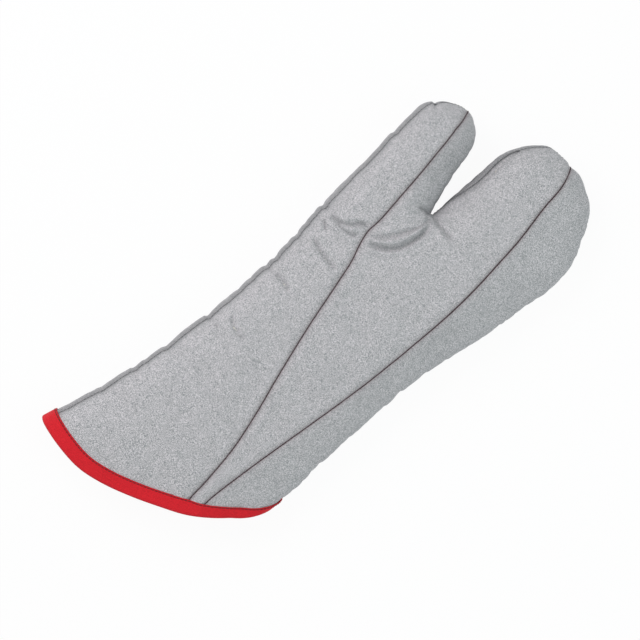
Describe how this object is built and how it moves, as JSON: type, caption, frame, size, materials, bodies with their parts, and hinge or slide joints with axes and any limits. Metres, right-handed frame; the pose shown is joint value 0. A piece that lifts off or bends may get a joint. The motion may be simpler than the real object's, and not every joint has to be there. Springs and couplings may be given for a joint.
{
  "type": "aluminized oven glove",
  "caption": "Long aluminized oven glove with separate thumb, red-stitched front seams and a red bound slanted cuff.",
  "frame": {"origin": "bottom centre of the glove's box, on the surface that the back of the glove rests on", "axes": "+Y towards the fingertips, -X towards the thumb's side, +Z out of the palm, away from the surface"},
  "size_m": [0.1858, 0.4638, 0.049],
  "materials": {
    "aluminized_cloth": "matt silver-grey aluminized cloth, fine plain weave",
    "wadding": "soft insulating felt",
    "cotton_lining": "plain cotton",
    "red_binding": "woven bias tape",
    "sewing_thread": "twisted sewing thread"
  },
  "bodies": {
    "root": {"shell_back": "aluminized_cloth", "shell_thumb_side": "aluminized_cloth", "shell_palm": "aluminized_cloth", "shell_outer_side": "aluminized_cloth", "wadding_front": "wadding", "wadding_back": "wadding", "lining_front": "cotton_lining", "lining_back": "cotton_lining", "cuff_binding": "red_binding", "thumb_seam_thread": "sewing_thread", "hand_seam_thread": "sewing_thread", "perimeter_seam_thread": "sewing_thread", "binding_stitching": "sewing_thread"}
  },
  "joints": []
}
